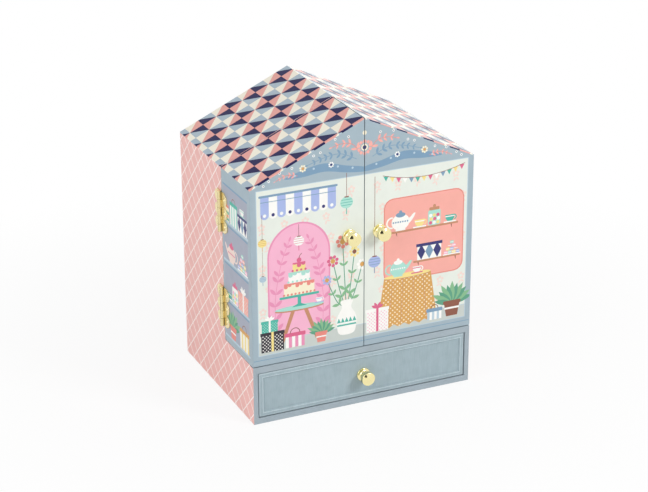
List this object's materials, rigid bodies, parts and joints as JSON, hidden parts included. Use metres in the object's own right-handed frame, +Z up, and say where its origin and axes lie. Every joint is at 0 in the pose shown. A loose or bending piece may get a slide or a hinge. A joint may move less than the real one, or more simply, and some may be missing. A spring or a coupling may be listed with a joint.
{
  "type": "musical jewellery box",
  "caption": "House-shaped paper-covered jewellery box with deep hinged doors, a plinth drawer and a wind-up musical movement that turns a dancer.",
  "frame": {"origin": "middle of the underside of the base board", "axes": "+Z up, front with the doors and drawer towards -Y, +X to the right seen from the front"},
  "size_m": [0.1768, 0.1584, 0.215],
  "materials": {
    "pink_paper": "pink trellis paper on greyboard",
    "roof_paper": "patchwork pattern paper on greyboard",
    "grey_blue_paper": "grey-blue linen paper on greyboard",
    "printed_paper": "printed paper on greyboard",
    "lining_paper": "cream lining paper on greyboard",
    "mirror_glass": "silvered",
    "hinge_brass": "pressed and polished",
    "knob_brass": "turned and polished",
    "movement_brass": "plated",
    "steel": "zinc plated",
    "magnet_nickel": "nickel plated",
    "fly_nylon": "moulded nylon",
    "stage_enamel": "moulded and painted",
    "figure_plastic": "moulded and painted",
    "tulle": "gathered tulle"
  },
  "bodies": {
    "case": {"base_board": "grey_blue_paper", "left_wall": "pink_paper", "right_wall": "pink_paper", "back_panel": "pink_paper", "deck_board": "grey_blue_paper", "left_roof_board": "roof_paper", "right_roof_board": "roof_paper", "partition_board": "lining_paper", "mirror": "mirror_glass", "left_hinge_case_leaves": "hinge_brass", "right_hinge_case_leaves": "hinge_brass", "hinge_pins": "hinge_brass", "case_hinge_nails": "hinge_brass", "deck_magnets": "magnet_nickel", "brass_bushes": "movement_brass", "movement_frame": "steel", "movement_screws": "steel", "comb": "steel"},
    "left_door": {"left_door_front": "printed_paper", "left_door_side": "pink_paper", "left_door_roof": "roof_paper", "left_door_meeting_wall": "lining_paper", "left_door_floor": "lining_paper", "left_door_magnet": "magnet_nickel", "left_door_shelf": "lining_paper", "left_door_knob": "knob_brass", "left_door_knob_screw": "steel", "left_door_hinge_nails": "hinge_brass", "left_hinge_door_leaves": "hinge_brass"},
    "right_door": {"right_door_front": "printed_paper", "right_door_side": "pink_paper", "right_door_roof": "roof_paper", "right_door_meeting_wall": "lining_paper", "right_door_floor": "lining_paper", "right_door_magnet": "magnet_nickel", "right_door_shelf": "lining_paper", "right_door_knob": "knob_brass", "right_door_knob_screw": "steel", "right_door_hinge_nails": "hinge_brass", "right_hinge_door_leaves": "hinge_brass"},
    "drawer": {"drawer_front": "grey_blue_paper", "drawer_left_side": "lining_paper", "drawer_right_side": "lining_paper", "drawer_back": "lining_paper", "drawer_bottom": "lining_paper", "drawer_knob": "knob_brass", "drawer_knob_screw": "steel"},
    "dancer": {"dancer_spindle": "steel", "stage_disc": "stage_enamel", "ballerina_figure": "figure_plastic", "tutu": "tulle"},
    "cylinder": {"cylinder_arbor": "steel", "music_cylinder": "movement_brass"},
    "barrel": {"spring_barrel": "movement_brass", "mainspring": "steel"},
    "winder": {"winding_arbor": "steel", "winding_key": "movement_brass"},
    "fly": {"governor_fly": "fly_nylon"},
    "stop": {"stop_wire": "steel"}
  },
  "joints": [
    {"name": "left_door_swing", "type": "hinge", "parent": "case", "child": "left_door", "pos_m": [-0.0868, -0.01415, 0.107], "axis": [0, 0, -1], "range_deg": [0, 170]},
    {"name": "right_door_swing", "type": "hinge", "parent": "case", "child": "right_door", "pos_m": [0.0868, -0.01415, 0.107], "axis": [0, 0, 1], "range_deg": [0, 170]},
    {"name": "drawer_slide", "type": "slide", "parent": "case", "child": "drawer", "axis": [0, -1, 0], "range_m": [0, 0.06]},
    {"name": "dancer_spin", "type": "hinge", "parent": "case", "child": "dancer", "pos_m": [0, 0.02408, 0.045], "axis": [0, 0, 1], "continuous": true},
    {"name": "cylinder_spin", "type": "hinge", "parent": "case", "child": "cylinder", "pos_m": [0, 0.042, 0.022], "axis": [0, 1, 0], "continuous": true},
    {"name": "barrel_spin", "type": "hinge", "parent": "case", "child": "barrel", "pos_m": [-0.018, 0.055, 0.022], "axis": [0, 1, 0], "continuous": true},
    {"name": "fly_spin", "type": "hinge", "parent": "case", "child": "fly", "pos_m": [-0.013, 0.03, 0.022], "axis": [0, 1, 0], "continuous": true},
    {"name": "key_wind", "type": "hinge", "parent": "case", "child": "winder", "pos_m": [-0.018, 0.07, 0.022], "axis": [0, 1, 0], "continuous": true},
    {"name": "stop_wire_slide", "type": "slide", "parent": "case", "child": "stop", "axis": [0, -1, 0], "range_m": [0, 0.004]}
  ],
  "couplings": [
    {"joint": "cylinder_spin", "follows": "dancer_spin", "ratio": -0.5},
    {"joint": "barrel_spin", "follows": "dancer_spin", "ratio": 0.1},
    {"joint": "fly_spin", "follows": "dancer_spin", "ratio": 1.125},
    {"joint": "stop_wire_slide", "follows": "left_door_swing", "m_per_rad": 0.001348}
  ]
}
